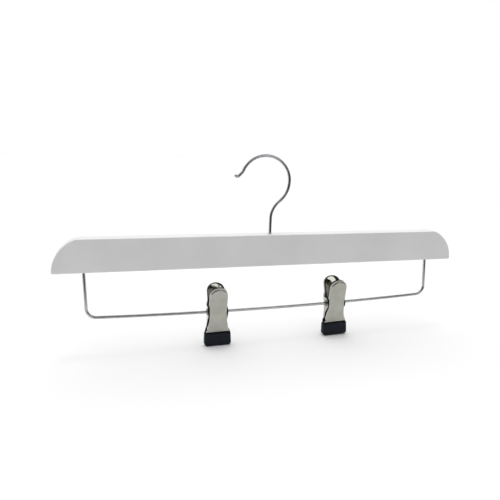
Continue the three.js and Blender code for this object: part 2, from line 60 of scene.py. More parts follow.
# Bar. Its length, height and thickness come from the frame
BAR_LOW, BAR_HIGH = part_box("hanger_bar")
BAR_LENGTH, BAR_THICKNESS, BAR_HEIGHT = (BAR_HIGH - BAR_LOW) / MM
BAR_ORIGIN = Vector(((BAR_LOW.x + BAR_HIGH.x) / 2, (BAR_LOW.y + BAR_HIGH.y) / 2, BAR_LOW.z))
SHOULDER_CREST = 2
BAR_FOOT_RADIUS = 1.6
BAR_EDGE_ROUND = 0.9

# Hook
HOOK_WIRE = 3.0
HOOK_HEIGHT = 77.8
HOOK_RADIUS = 25
HOOK_OFFSET = -6.8
HOOK_NECK_RADIUS = 23
HOOK_MOUTH_TURN = math.radians(157)
HOOK_FLARE_RADIUS = 4
HOOK_FLARE_TURN = math.radians(22)
HOOK_FLARE_LENGTH = 4.8
HOOK_TIP_RADIUS = 2
HOOK_TIP_TURN = math.radians(115)
HOOK_TIP_DOME = 0.7
HOOK_HOLE_X = -1.4
HOOK_HEAD_DIAMETER = 5.6
HOOK_HEAD_HEIGHT = 1.8
HOOK_HEAD_ROUND = 0.4
WASHER_DIAMETER = 8.4
WASHER_THICKNESS = 1.0
WASHER_ROUND = 0.2
COUNTERBORE_DEPTH = 7

# Rail
RAIL_WIRE = 3.0
RAIL_BEND_RADIUS = 9
RAIL_LEG_DEPTH = 16
RAIL_BOW = 3.7
RAIL_LEFT = {"hole": -182.2, "corner": -181.2, "drop": 46.1}
RAIL_RIGHT = {"hole": 182.7, "corner": 186.0, "drop": 41.7}

# Clip jaws
SHEET = 0.8
SHEET_BEND = 1.3
CLIP_TOP = 27
HANDLE_WIDTH = 18
HANDLE_ARCH = 7.7
HANDLE_LEAN = math.radians(14.2)
HANDLE_RIM = 4.9
RIM_RELIEF = 0.5
PIVOT_TO_FACE = 6.5
OUTER_WAIST = 20.4
NESTING_GAP = 0.4
INNER_EAR = {"radius": 4.8, "slant": math.radians(60)}
OUTER_EAR = {"radius": 6, "slant": math.radians(38)}
WAIST_REACH = 5.6
SHUT_GAP = 1.4
FLANGE_RUN_OUT = 3
FLARE_START = 8
FLARE_WIDTH = 26
FLARE_POWER = 1.7
JOGGLE_HEIGHT = 1.5
TOE_WIDTH = 23.0
TOE_CORNER = 2
EMBOSS_WIDTH = 9.4
EMBOSS_HEIGHT = 0.4
EMBOSS_SLOPE = 0.7
EMBOSS_RUN_OUT = 3.5

# Hollow rivet
RIVET_BORE = 4.8
RIVET_WALL = 0.4
RIVET_RIM = 0.8
RIVET_RIM_THICKNESS = 0.6

# Torsion spring
SPRING_WIRE = 1.2
SPRING_PITCH = 1.4
SPRING_WHOLE_TURNS = 4
SPRING_LEG = 17

# Boots
BOOT_TOP_WIDTH = 26.9
BOOT_WIDTH = 27.8
BOOT_HEIGHT = 13.8
BOOT_TOP = -22.7
BOOT_THICKNESS = 3.4
BOOT_INNER_WALL = 0.9
BOOT_SOLE = 1.6
LIP_WIDTH = 26.8
LIP_RISE = 3.2
LIP_ROOT = 2
LIP_THICKNESS = 0.7
LIP_CORNER = 3.1
LIP_ROUND = 0.2
BOOT_CORNER = 3
BOOT_TOP_CORNER = 0.7
BOOT_ROUND = 0.8
GRIP_GROOVES = 5
GRIP_PITCH = 2.2
GRIP_DEPTH = 0.5

# Fits
SEAT_GAP = 0.3
RUNNING_GAP = 0.3

# Fineness of the meshes. Pieces are welded in place, so the weld is in metres
WIRE_SIDES = 24
SPRING_SIDES = 16
ROUND_SIDES = 48
BEND_STEP = math.radians(3)
COIL_STEP = math.radians(10)
EAR_TOP_TURN = math.radians(80)
ARC_STEPS = 28
EDGE_STEPS = 5
FILLET_STEPS = 6
FLAT_STEPS = 3
# Width in steps of the near-black band along the handle's rim, painted shade
PAINTED_RIM_SHADE_STEPS = FILLET_STEPS // 2
PANEL_SHARE = 0.6
PANEL_SLOPE_SHARE = 0.7
RUN_PARTS = 60
ROW_HEIGHT = 0.7
WELD = 1e-7
HAIR = 0.05
SHARP = math.radians(38)

# Camera, from the solved view of the photograph. Its place is from the middle of the bar's lower edge
CAMERA_PLACE = Vector((-150.38, -461.83, 129.38))
CAMERA_YAW = math.radians(15.565)
CAMERA_PITCH = math.radians(13.344)
CAMERA_ROLL = math.radians(-1.913)
CAMERA_LENS = 35.08
CAMERA_SENSOR = 36

# Stage and light. Lengths are in metres
FLOOR_WIDTH = 6.0
FLOOR_FRONT = -0.17
APRON_FRONT = -0.55
FLOOR_BACK = 4.0
FLOOR_CLEARANCE = 0.0002
FLOOR_GLOW = 0.025
FLOOR_TONE = 247
FLOOR_ROUGHNESS = 0.9
FLOOR_SPECULAR = 0.1
SUN_STRENGTH = 0.22
SUN_SIZE = math.radians(8)
SUN_BEHIND = math.radians(1)
CEILING_TILT = math.radians(10)
CEILING_REACH = (0.5, 0.85)
CEILING_STRENGTH = 1.7
FILL_STRENGTH = 0.25
BACKDROP_TILT = math.radians(70)
BACKDROP_REACH = (0.05, 0.32)
ROOM_REACH = (0.1, 0.4)
ROOM_STRENGTH = (0.08, 0.35)
SOFTBOX_STRENGTH = 2.0
SOFTBOX_LEFT = (0.155, 0.17)
SOFTBOX_RIGHT = (0.42, 0.5)
SOFTBOX_FOOT = (-0.04, 0.02)
SOFTBOX_TOP = (0.3, 0.42)
SOFTBOX_FRONT = (-0.5, -0.4)
WHITE = (1, 1, 1, 1)

# Noise lies mostly within this span, so a finish spreads its tones over it
NOISE_SPAN = (0.3, 0.7)


# Meshes

def new_piece(name, vertices, faces, place, materials=(), second_finish=()):
    """A welded mesh object with its faces pointing out, moved from millimetres to its place."""
    mesh = bpy.data.meshes.new(name)
    mesh.from_pydata([place @ Vector(v) for v in vertices], [], faces)
    for material in materials:
        mesh.materials.append(material)
    for i in second_finish:
        mesh.polygons[i].material_index = 1
    shape = bmesh.new()
    shape.from_mesh(mesh)
    bmesh.ops.remove_doubles(shape, verts=shape.verts, dist=WELD)
    bmesh.ops.dissolve_degenerate(shape, edges=shape.edges, dist=WELD)
    bmesh.ops.recalc_face_normals(shape, faces=shape.faces)
    shape.to_mesh(mesh)
    shape.free()
    piece = bpy.data.objects.new(name, mesh)
    bpy.context.scene.collection.objects.link(piece)
    return piece


def carve(piece, tools, added=()):
    """Joins the added forms to a piece, cuts the tools out of it, and deletes both."""
    work = [(form, "UNION") for form in added] + [(tool, "DIFFERENCE") for tool in tools]
    for form, operation in work:
        step = piece.modifiers.new("step", "BOOLEAN")
        step.operation = operation
        step.solver = "EXACT"
        step.object = form
    shaped = piece.evaluated_get(bpy.context.evaluated_depsgraph_get())
    plain = piece.data
    carved = bpy.data.meshes.new_from_object(shaped)
    piece.modifiers.clear()
    piece.data = carved
    carved.name = piece.name
    bpy.data.meshes.remove(plain)
    for form, _ in work:
        bpy.data.objects.remove(form)


def finish_piece(piece, node):
    """Smooth shading with true edges, and the CAD node that the piece stands for."""
    piece.data.shade_smooth()
    piece.data.set_sharp_from_angle(angle=SHARP)
    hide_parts(node)


def even_normals(piece):
    """Keeps large flat faces flat beside rounded edges."""
    even = piece.modifiers.new("even_normals", "WEIGHTED_NORMAL")
    even.keep_sharp = True


def lerp(a, b, share):
    return a + (b - a) * share


def smoothstep(low, high, value):
    share = min(1, max(0, (value - low) / (high - low)))
    return share * share * (3 - 2 * share)


def divided(start, end, parts):
    """Values from start to end in equal parts."""
    return [lerp(start, end, i / parts) for i in range(parts + 1)]


def spaced(start, end, step):
    """Values from start to end, about a step apart."""
    return divided(start, end, max(1, round(abs(end - start) / step)))


def quarter_turns(steps):
    return [math.pi / 2 * k / steps for k in range(steps + 1)]


def arc(centre_x, centre_z, radius, start, end, steps):
    turns = divided(start, end, steps)
    return [(centre_x + radius * math.cos(t), centre_z + radius * math.sin(t)) for t in turns]


def ring_faces(rings, sides):
    """Quads between neighbouring rings of a mesh, ring after ring."""
    faces = []
    for i in range(rings - 1):
        for j in range(sides):
            k = (j + 1) % sides
            faces.append((i * sides + j, i * sides + k, (i + 1) * sides + k, (i + 1) * sides + j))
    return faces


def wire_mesh(stations, sides):
    """A round wire along stations of (point, tangent, radius), closed at both ends."""
    vertices = []
    across = stations[0][1].orthogonal().normalized()
    previous = stations[0][1]
    for point, tangent, radius in stations:
        across = previous.rotation_difference(tangent) @ across
        other = tangent.cross(across).normalized()
        previous = tangent
        for j in range(sides):
            turn = 2 * math.pi * j / sides
            vertices.append(point + radius * (math.cos(turn) * across + math.sin(turn) * other))
    faces = ring_faces(len(stations), sides)
    last = (len(stations) - 1) * sides
    faces.append(tuple(range(sides)))
    faces.append(tuple(range(last, last + sides)))
    return vertices, faces


def lathe_mesh(profile, axis):
    """A ring turned about X or Z from a closed profile of (radius, height)."""
    vertices = []
    for radius, height in profile + profile[:1]:
        for j in range(ROUND_SIDES):
            turn = 2 * math.pi * j / ROUND_SIDES
            a, b = radius * math.cos(turn), radius * math.sin(turn)
            vertices.append((height, a, b) if axis == "X" else (a, b, height))
    return vertices, ring_faces(len(profile) + 1, ROUND_SIDES)


def rod_tool(start, end, radius, place):
    """A plain round cutter."""
    along = (end - start).normalized()
    stations = [(start, along, radius), (end, along, radius)]
    return new_piece("tool", *wire_mesh(stations, ROUND_SIDES), place)


def box_tool(centre, size, turn, place):
    """A plain square cutter, turned about X."""
    corners = [Vector((x, y, z)) for x in (-0.5, 0.5) for y in (-0.5, 0.5) for z in (-0.5, 0.5)]
    about_x = Matrix.Rotation(turn, 3, "X")
    vertices = [Vector(centre) + about_x @ (corner * Vector(size)) for corner in corners]
    faces = [(0, 1, 3, 2), (4, 6, 7, 5), (0, 4, 5, 1), (2, 3, 7, 6), (0, 2, 6, 4), (1, 5, 7, 3)]
    return new_piece("tool", vertices, faces, place)


def inset_outline(outline, distance):
    """The outline moved inwards, with mitred corners. It runs anticlockwise."""
    moved = []
    for i, (x, z) in enumerate(outline):
        before = Vector(outline[i - 1])
        here = Vector((x, z))
        after = Vector(outline[(i + 1) % len(outline)])
        first = (here - before).normalized()
        second = (after - here).normalized()
        normals = Vector((-first.y, first.x)), Vector((-second.y, second.x))
        mitre = (normals[0] + normals[1]) / (1 + normals[0].dot(normals[1]))
        moved.append((here.x + distance * mitre.x, here.y + distance * mitre.y))
    return moved


def slab_mesh(outline, front, back, radius):
    """A front-view outline given thickness along Y, with rounded edges."""
    turns = quarter_turns(EDGE_STEPS)
    rims = [(radius * (1 - math.sin(t)), front + radius * (1 - math.cos(t))) for t in turns]
    rims += [(inset, front + back - y) for inset, y in reversed(rims)]
    vertices = []
    for inset, y in rims:
        vertices += [(x, y, z) for x, z in inset_outline(outline, inset)]
    count = len(outline)
    faces = ring_faces(len(rims), count)
    last = (len(rims) - 1) * count
    faces.append(tuple(range(count)))
    faces.append(tuple(range(last, last + count)))
    return vertices, faces


class WireForm:
    """A flat wire form made of straight feeds and bends, left turns positive."""

    def __init__(self, x, z, heading, radius):
        self.x, self.z, self.heading, self.radius = x, z, heading, radius
        self.stations = []
        self.mark()

    def mark(self):
        tangent = Vector((math.cos(self.heading), 0, math.sin(self.heading)))
        self.stations.append((Vector((self.x, 0, self.z)), tangent, self.radius))

    def feed(self, length, parts=1):
        for _ in range(parts):
            self.x += length / parts * math.cos(self.heading)
            self.z += length / parts * math.sin(self.heading)
            self.mark()

    def bend(self, radius, turn):
        side = math.copysign(1, turn)
        centre_x = self.x - side * radius * math.sin(self.heading)
        centre_z = self.z + side * radius * math.cos(self.heading)
        parts = math.ceil(abs(turn) / BEND_STEP)
        for _ in range(parts):
            self.heading += turn / parts
            self.x = centre_x + side * radius * math.sin(self.heading)
            self.z = centre_z - side * radius * math.cos(self.heading)
            self.mark()


# Nodes and materials

def ramp(tree, value, reach, values, interpolation="SMOOTHSTEP"):
    """A step from one value to another while the input crosses its reach."""
    step = tree.nodes.new("ShaderNodeMapRange")
    step.interpolation_type = interpolation
    sockets = ("From Min", "From Max", "To Min", "To Max")
    for socket, number in zip(sockets, (*reach, *values)):
        step.inputs[socket].default_value = number
    tree.links.new(value, step.inputs["Value"])
    return step.outputs["Result"]


def srgb(red, green, blue):
    """A colour from 0 to 255 as the eye sees it, as the shader takes it."""
    def linear(value):
        share = value / 255
        return share / 12.92 if share <= 0.04045 else ((share + 0.055) / 1.055) ** 2.4
    return (linear(red), linear(green), linear(blue), 1)


class Finish:
    """A node material round one Principled shader, with the few nodes that these finishes use."""

    def __init__(self, name, **sockets):
        self.material = bpy.data.materials.new(name)
        self.material.use_nodes = True
        self.tree = self.material.node_tree
        self.surface = self.tree.nodes["Principled BSDF"]
        for socket, value in sockets.items():
            self.surface.inputs[socket.replace("_", " ")].default_value = value
        self.where = self.add("ShaderNodeTexCoord").outputs["Object"]
        self.normal = None

    def add(self, kind):
        return self.tree.nodes.new(kind)

    def join(self, source, target):
        self.tree.links.new(source, target)

    def noise(self, size, detail, stretch=(1, 1, 1)):
        """Noise with features of about this size in millimetres, drawn out along the stretched ways."""
        mapping = self.add("ShaderNodeMapping")
        mapping.inputs["Scale"].default_value = [1 / s for s in stretch]
        self.join(self.where, mapping.inputs["Vector"])
        noise = self.add("ShaderNodeTexNoise")
        noise.inputs["Scale"].default_value = 1 / (size * MM)
        noise.inputs["Detail"].default_value = detail
        self.join(mapping.outputs["Vector"], noise.inputs["Vector"])
        return noise.outputs["Fac"]

    def colour(self, factor, first, second):
        """Base colour between two tones."""
        blend = self.add("ShaderNodeValToRGB")
        for element, position, tone in zip(blend.color_ramp.elements, NOISE_SPAN, (first, second)):
            element.position = position
            element.color = tone
        self.join(factor, blend.inputs["Fac"])
        self.join(blend.outputs["Color"], self.surface.inputs["Base Color"])

    def roughness(self, factor, low, high):
        spread = ramp(self.tree, factor, NOISE_SPAN, (low, high), "LINEAR")
        self.join(spread, self.surface.inputs["Roughness"])

    def relief(self, height, strength, depth):
        """One more layer of bump, up to this depth in millimetres."""
        bump = self.add("ShaderNodeBump")
        bump.inputs["Strength"].default_value = strength
        bump.inputs["Distance"].default_value = depth * MM
        self.join(height, bump.inputs["Height"])
        if self.normal:
            self.join(self.normal, bump.inputs["Normal"])
        self.normal = bump.outputs["Normal"]
        self.join(self.normal, self.surface.inputs["Normal"])


def painted_wood():
    """Satin white paint, with the grain just showing through."""
    paint = Finish("satin_white_paint", Specular_IOR_Level=0.4)
    grain = paint.noise(size=0.9, detail=6, stretch=(60, 1, 1))
    peel = paint.noise(size=0.7, detail=2)
    rubbed = paint.noise(size=45, detail=4)
    paint.colour(rubbed, srgb(231, 231, 231), srgb(238, 238, 238))
    paint.roughness(rubbed, low=0.36, high=0.5)
    paint.relief(grain, strength=0.12, depth=0.12)
    paint.relief(peel, strength=0.1, depth=0.05)
    return paint.material


def chromed_wire(name, dim, bright, smooth, dull):
    """Chrome over drawn wire, between two tones and two roughnesses."""
    chrome = Finish(name, Metallic=1)
    film = chrome.noise(size=6, detail=4)
    pits = chrome.noise(size=0.35, detail=3)
    chrome.colour(film, dim, bright)
    chrome.roughness(film, low=smooth, high=dull)
    chrome.relief(pits, strength=0.08, depth=0.02)
    return chrome.material


def hook_chrome():
    return chromed_wire("hook_chrome", srgb(178, 180, 183), srgb(198, 199, 202), smooth=0.08, dull=0.18)


def rail_chrome():
    """The rail's plating, duller from the clips that slide along it."""
    return chromed_wire("rail_chrome", srgb(164, 165, 166), srgb(182, 183, 184), smooth=0.12, dull=0.22)


def nickel_plate():
    """Satin nickel over pressed steel, a little warm and clouded."""
    nickel = Finish("satin_nickel", Metallic=1)
    cloud = nickel.noise(size=7, detail=5)
    dents = nickel.noise(size=6, detail=1)
    rolled = nickel.noise(size=0.25, detail=4, stretch=(1, 1, 25))
    nickel.colour(cloud, srgb(165, 164, 155), srgb(173, 173, 165))
    nickel.roughness(cloud, low=0.08, high=0.16)
    nickel.relief(dents, strength=1, depth=0.2)
    nickel.relief(rolled, strength=0.1, depth=0.02)
    return nickel.material


def cut_steel_and_painted_shade():
    """The sheared edges and a band along the handle's rim, near black: bare steel at the cut, and painted
    shade where the rim and the gap behind it fall dark.
    """
    steel = Finish("cut_steel_and_painted_shade", Metallic=1)
    torn = steel.noise(size=0.5, detail=4)
    steel.colour(torn, srgb(24, 24, 25), srgb(40, 40, 41))
    steel.roughness(torn, low=0.3, high=0.5)
    steel.relief(torn, strength=0.2, depth=0.03)
    return steel.material


def zinc_plate():
    """Dull zinc with a faint spangle, on the washer."""
    zinc = Finish("zinc_plate", Metallic=1)
    spangle = zinc.noise(size=1.2, detail=2)
    zinc.colour(spangle, srgb(150, 153, 156), srgb(182, 185, 188))
    zinc.roughness(spangle, low=0.3, high=0.45)
    zinc.relief(spangle, strength=0.1, depth=0.02)
    return zinc.material


def spring_steel():
    """Bare drawn wire with a film of oil."""
    steel = Finish("spring_steel", Metallic=1)
    oil = steel.noise(size=2.5, detail=4)
    drawn = steel.noise(size=0.2, detail=3)
    steel.colour(oil, srgb(120, 120, 122), srgb(160, 160, 162))
    steel.roughness(oil, low=0.22, high=0.38)
    steel.relief(drawn, strength=0.1, depth=0.02)
    return steel.material


def boot_vinyl():
    """Soft black vinyl with a fine moulded grain and a trace of dust."""
    vinyl = Finish("black_vinyl", Specular_IOR_Level=0.2)
    dust = vinyl.noise(size=4, detail=6)
    grain = vinyl.noise(size=0.3, detail=3)
    vinyl.colour(dust, srgb(13, 18, 27), srgb(25, 30, 40))
    vinyl.roughness(dust, low=0.5, high=0.68)
    vinyl.relief(grain, strength=0.25, depth=0.05)
    return vinyl.material


# Bar

def leg_point(side, z):
    """The line of a rail's leg, from its corner on the run up into the bar."""
    return Vector((side["hole"] + (side["hole"] - side["corner"]) * z / side["drop"], 0, z))


def bar_outline():
    """A board with small round lower corners, and round shoulders that meet the top at a slant."""
    radius = BAR_HEIGHT + SHOULDER_CREST
    centre = BAR_LENGTH / 2 - radius
    foot = centre + math.sqrt((radius - BAR_FOOT_RADIUS) ** 2 - BAR_FOOT_RADIUS ** 2)
    low = math.atan2(BAR_FOOT_RADIUS, foot - centre)
    high = math.asin(BAR_HEIGHT / radius)
    right = arc(foot, BAR_FOOT_RADIUS, BAR_FOOT_RADIUS, -math.pi / 2, low, FILLET_STEPS)
    right += arc(centre, 0, radius, low, high, ARC_STEPS)[1:]
    return right + [(-x, z) for x, z in reversed(right)]


def make_bar(place, material):
    half = BAR_THICKNESS / 2
    shape = slab_mesh(bar_outline(), -half, half, BAR_EDGE_ROUND)
    bar = new_piece("board", *shape, place, [material])
    hook_low = Vector((HOOK_HOLE_X, 0, -BAR_EDGE_ROUND))
    hook_high = Vector((HOOK_HOLE_X, 0, BAR_HEIGHT + BAR_EDGE_ROUND))
    seat = Vector((HOOK_HOLE_X, 0, COUNTERBORE_DEPTH))
    tools = [
        rod_tool(hook_low, hook_high, HOOK_WIRE / 2 + RUNNING_GAP, place),
        rod_tool(hook_low, seat, WASHER_DIAMETER / 2 + SEAT_GAP, place),
    ]
    for side in (RAIL_LEFT, RAIL_RIGHT):
        mouth = leg_point(side, -BAR_EDGE_ROUND)
        end = leg_point(side, RAIL_LEG_DEPTH + SEAT_GAP)
        tools.append(rod_tool(mouth, end, RAIL_WIRE / 2 + SEAT_GAP, place))
    carve(bar, tools)
    finish_piece(bar, "hanger_bar")
    even_normals(bar)
    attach(bar, "bar")


# Hook and washer

WASHER_TOP = COUNTERBORE_DEPTH - SEAT_GAP
HEAD_TOP = WASHER_TOP - WASHER_THICKNESS - RUNNING_GAP


def hook_stations():
    """The wire, from its head in the bar to the domed end of its curled tip."""
    centre_z = BAR_HEIGHT + HOOK_HEIGHT - HOOK_RADIUS
    aside = HOOK_NECK_RADIUS - HOOK_OFFSET
    apart = HOOK_RADIUS + HOOK_NECK_RADIUS
    neck_turn = math.acos(aside / apart)
    neck_z = centre_z - apart * math.sin(neck_turn)
    radius = HOOK_WIRE / 2
    form = WireForm(HOOK_HOLE_X, HEAD_TOP, math.pi / 2, radius)
    form.feed(neck_z - HEAD_TOP)
    form.bend(HOOK_NECK_RADIUS, -neck_turn)
    form.bend(HOOK_RADIUS, HOOK_MOUTH_TURN + neck_turn)
    form.bend(HOOK_FLARE_RADIUS, -HOOK_FLARE_TURN)
    form.feed(HOOK_FLARE_LENGTH)
    form.bend(HOOK_TIP_RADIUS, -HOOK_TIP_TURN)
    head = HOOK_HEAD_DIAMETER / 2
    up = Vector((0, 0, 1))
    foot = HEAD_TOP - HOOK_HEAD_HEIGHT
    heights = [(foot, head - HOOK_HEAD_ROUND), (foot + HOOK_HEAD_ROUND, head), (HEAD_TOP, head)]
    headed = [(Vector((HOOK_HOLE_X, 0, z)), up, r) for z, r in heights]
    tip, tangent, _ = form.stations[-1]
    dome = []
    for turn in quarter_turns(FILLET_STEPS)[1:-1]:
        dome.append((tip + HOOK_TIP_DOME * math.sin(turn) * tangent, tangent, radius * math.cos(turn)))
    return headed + form.stations + dome


def make_hook(place, material):
    hook = new_piece("hook_wire", *wire_mesh(hook_stations(), WIRE_SIDES), place, [material])
    finish_piece(hook, "hook")
    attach(hook, "hook")


def make_washer(place, material):
    inner = HOOK_WIRE / 2 + RUNNING_GAP
    outer = WASHER_DIAMETER / 2
    low = WASHER_TOP - WASHER_THICKNESS
    profile = [
        (inner, low),
        (outer - WASHER_ROUND, low),
        (outer, low + WASHER_ROUND),
        (outer, WASHER_TOP - WASHER_ROUND),
        (outer - WASHER_ROUND, WASHER_TOP),
        (inner, WASHER_TOP),
    ]
    over_hole = place @ Matrix.Translation((HOOK_HOLE_X, 0, 0))
    washer = new_piece("washer", *lathe_mesh(profile, "Z"), over_hole, [material])
    finish_piece(washer, "hook_washer")
    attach(washer, "bar")


# Rail

def bow_at(x):
    """How far the rail sags below the straight line between its corners."""
    share = (x - RAIL_LEFT["corner"]) / (RAIL_RIGHT["corner"] - RAIL_LEFT["corner"])
    share = min(1, max(0, share))
    return 4 * RAIL_BOW * share * (1 - share)


def rail_stations():
    corners = [
        leg_point(RAIL_LEFT, RAIL_LEG_DEPTH),
        leg_point(RAIL_LEFT, -RAIL_LEFT["drop"]),
        leg_point(RAIL_RIGHT, -RAIL_RIGHT["drop"]),
        leg_point(RAIL_RIGHT, RAIL_LEG_DEPTH),
    ]
    steps = [b - a for a, b in zip(corners, corners[1:])]
    headings = [math.atan2(step.z, step.x) for step in steps]
    turns = [b - a for a, b in zip(headings, headings[1:])]
    setbacks = [RAIL_BEND_RADIUS * math.tan(turn / 2) for turn in turns]
    form = WireForm(corners[0].x, corners[0].z, headings[0], RAIL_WIRE / 2)
    form.feed(steps[0].length - setbacks[0])
    form.bend(RAIL_BEND_RADIUS, turns[0])
    form.feed(steps[1].length - sum(setbacks), RUN_PARTS)
    form.bend(RAIL_BEND_RADIUS, turns[1])
    form.feed(steps[2].length - setbacks[1])
    for point, _, _ in form.stations:
        point.z -= bow_at(point.x)
    return form.stations


def make_rail(place, material):
    rail = new_piece("rail_wire", *wire_mesh(rail_stations(), WIRE_SIDES), place, [material])
    finish_piece(rail, "clip_rail")
    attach(rail, "bar")


# Clip jaws

FLUSH_FACE = -(SEAT_GAP / 2 + BOOT_THICKNESS)
TOE_FACE = -(SEAT_GAP / 2 + BOOT_INNER_WALL + SEAT_GAP + SHEET)
TOE_TIP = BOOT_TOP - BOOT_HEIGHT + BOOT_SOLE + SEAT_GAP
FLANGE_FOOT = BOOT_TOP + SEAT_GAP
JOGGLE_TOP = FLANGE_FOOT + JOGGLE_HEIGHT
HANDLE_FOOT = 2 * WAIST_REACH
LIP_TOP = BOOT_TOP + LIP_RISE
FLANGE_END = LIP_TOP + SEAT_GAP
RIVET_RADIUS = RIVET_BORE / 2 + RIVET_WALL
INNER_WAIST = OUTER_WAIST - 2 * (SHEET + NESTING_GAP)
ARCH_FOOT = CLIP_TOP - HANDLE_ARCH


def face_y(z):
    """Outer face of the front jaw in the side view: flush with the boot, then stepped in to the toe."""
    if z >= 0:
        return -PIVOT_TO_FACE - z * math.tan(HANDLE_LEAN)
    if z < JOGGLE_TOP:
        return lerp(TOE_FACE, FLUSH_FACE, smoothstep(FLANGE_FOOT, JOGGLE_TOP, z))
    share = (-z - WAIST_REACH) / (-JOGGLE_TOP - WAIST_REACH)
    return lerp(-PIVOT_TO_FACE, FLUSH_FACE, max(0, share))


def ear_foot(ear):
    """Height at which an ear's slanted flank comes down to the shut line."""
    return -(ear["radius"] + SHUT_GAP / 2 * math.cos(ear["slant"])) / math.sin(ear["slant"])


def ear_edge(z, ear):
    """An ear is round above and leaves its circle along a slanted line."""
    radius, slant = ear["radius"], ear["slant"]
    if z > -radius * math.sin(slant):
        return math.sqrt(max(0, radius ** 2 - z ** 2))
    return (radius + z * math.sin(slant)) / math.cos(slant)


def flange_edge(z, ear):
    """Free edge of the front jaw's side flange: the handle's rim, an ear, a shut line, a run-out below."""
    if z > ear["radius"]:
        along = (z - ear["radius"]) / (CLIP_TOP - ear["radius"])
        return face_y(z) + lerp(PIVOT_TO_FACE - RIM_RELIEF, HANDLE_RIM, along)
    if z > ear_foot(ear):
        return ear_edge(z, ear)
    run_out = smoothstep(FLANGE_END, FLANGE_END + FLANGE_RUN_OUT, z)
    return lerp(face_y(z) + SHEET, -SHUT_GAP / 2, run_out)


def flange_rise(z, ear):
    """How far the flange rises for its depth: level at the ears, square to the face along the handle."""
    return smoothstep(ear["radius"], HANDLE_FOOT, z) * math.tan(HANDLE_LEAN)


def corner_inset(radius, height):
    """How far a rounded lower corner draws the outline in, at a height above the corner's foot."""
    below = min(radius, max(0, radius - height))
    return radius - math.sqrt(radius ** 2 - below ** 2)


def corner_levels(radius, foot):
    return [foot + radius * (1 - math.cos(turn)) for turn in quarter_turns(FILLET_STEPS)]


def jaw_half_width(z, waist):
    if z < FLANGE_FOOT:
        return TOE_WIDTH / 2 - corner_inset(TOE_CORNER, z - TOE_TIP)
    if z < -FLARE_START:
        share = (-z - FLARE_START) / (-FLANGE_FOOT - FLARE_START)
        flare = lerp(waist, FLARE_WIDTH, share ** FLARE_POWER) / 2
        return flare - corner_inset(JOGGLE_HEIGHT, z - FLANGE_FOOT)
    return lerp(waist, HANDLE_WIDTH, smoothstep(WAIST_REACH, HANDLE_FOOT, z)) / 2


def jaw_levels(ear):
    """Heights of the pressing's cross-sections below the handle's arch, from the toe up."""
    levels = corner_levels(TOE_CORNER, TOE_TIP)
    levels.append(FLANGE_FOOT - HAIR)
    levels += corner_levels(JOGGLE_HEIGHT, FLANGE_FOOT)
    levels += spaced(JOGGLE_TOP, FLANGE_END, ROW_HEIGHT)[1:]
    levels += spaced(FLANGE_END, FLANGE_END + FLANGE_RUN_OUT, ROW_HEIGHT / 2)[1:]
    levels += spaced(FLANGE_END + FLANGE_RUN_OUT, ear_foot(ear), ROW_HEIGHT)[1:]
    levels += spaced(ear_foot(ear), -ear["radius"] * math.sin(ear["slant"]), ROW_HEIGHT)[1:]
    round_the_ear = spaced(-ear["slant"], EAR_TOP_TURN, 2 * BEND_STEP)[1:]
    levels += [ear["radius"] * math.sin(turn) for turn in round_the_ear]
    levels += spaced(ear["radius"] + HAIR, ARCH_FOOT, ROW_HEIGHT)
    return levels


def jaw_rows(waist, ear):
    """Edge of the pressing's flat, row by row from the toe up: half width, height, way out, and bend."""
    rows = []
    for z in jaw_levels(ear):
        bend = min(SHEET_BEND, flange_edge(z, ear) - face_y(z))
        rows.append((jaw_half_width(z, waist) - bend, z, 1, 0, bend))
    wide = HANDLE_WIDTH / 2 - SHEET_BEND
    tall = HANDLE_ARCH - SHEET_BEND
    for turn in spaced(0, math.pi / 2, 2 * BEND_STEP)[1:]:
        way = Vector((math.cos(turn) / wide, math.sin(turn) / tall)).normalized()
        rows.append((wide * math.cos(turn), ARCH_FOOT + tall * math.sin(turn), way.x, way.y, SHEET_BEND))
    return rows


def emboss_lift(x, z):
    """How far the raised panel stands out of the flat."""
    across = 1 - smoothstep(EMBOSS_WIDTH / 2, EMBOSS_WIDTH / 2 + EMBOSS_SLOPE, abs(x))
    below = smoothstep(-WAIST_REACH, -WAIST_REACH - EMBOSS_RUN_OUT, z)
    above = smoothstep(JOGGLE_TOP, JOGGLE_TOP + EMBOSS_RUN_OUT, z)
    return EMBOSS_HEIGHT * across * below * above


def jaw_section(row, ear, inset):
    """Half of a cross-section, from the flange's edge to the middle of the face."""
    flat, z, way_x, way_z, outer_bend = row
    bend = max(0, outer_bend - inset)
    edge = flange_edge(z + outer_bend * way_z, ear)
    rim_x, rim_z = flat + bend * way_x, z + bend * way_z
    wall_foot = face_y(rim_z) + inset + bend
    points = [(rim_x, lerp(edge, wall_foot, k / FILLET_STEPS), rim_z) for k in range(FILLET_STEPS)]
    for k in range(FILLET_STEPS + 1):
        turn = math.pi / 2 * (1 - k / FILLET_STEPS)
        x, level = flat + bend * way_x * math.sin(turn), z + bend * way_z * math.sin(turn)
        points.append((x, face_y(level) + inset + bend * (1 - math.cos(turn)), level))
    # Columns follow the raised panel's edges, and close up where the arch narrows
    panel = min(EMBOSS_WIDTH / 2, PANEL_SHARE * flat)
    slope = min(EMBOSS_WIDTH / 2 + EMBOSS_SLOPE, PANEL_SLOPE_SHARE * flat)
    across = divided(flat, slope, FLAT_STEPS)[1:]
    across += divided(slope, panel, FILLET_STEPS)[1:]
    across += [panel / 2, 0]
    points += [(x, face_y(z) + inset - emboss_lift(x, z), z) for x in across]
    return [(x, y, z + flange_rise(z, ear) * (y - face_y(z))) for x, y, z in points]


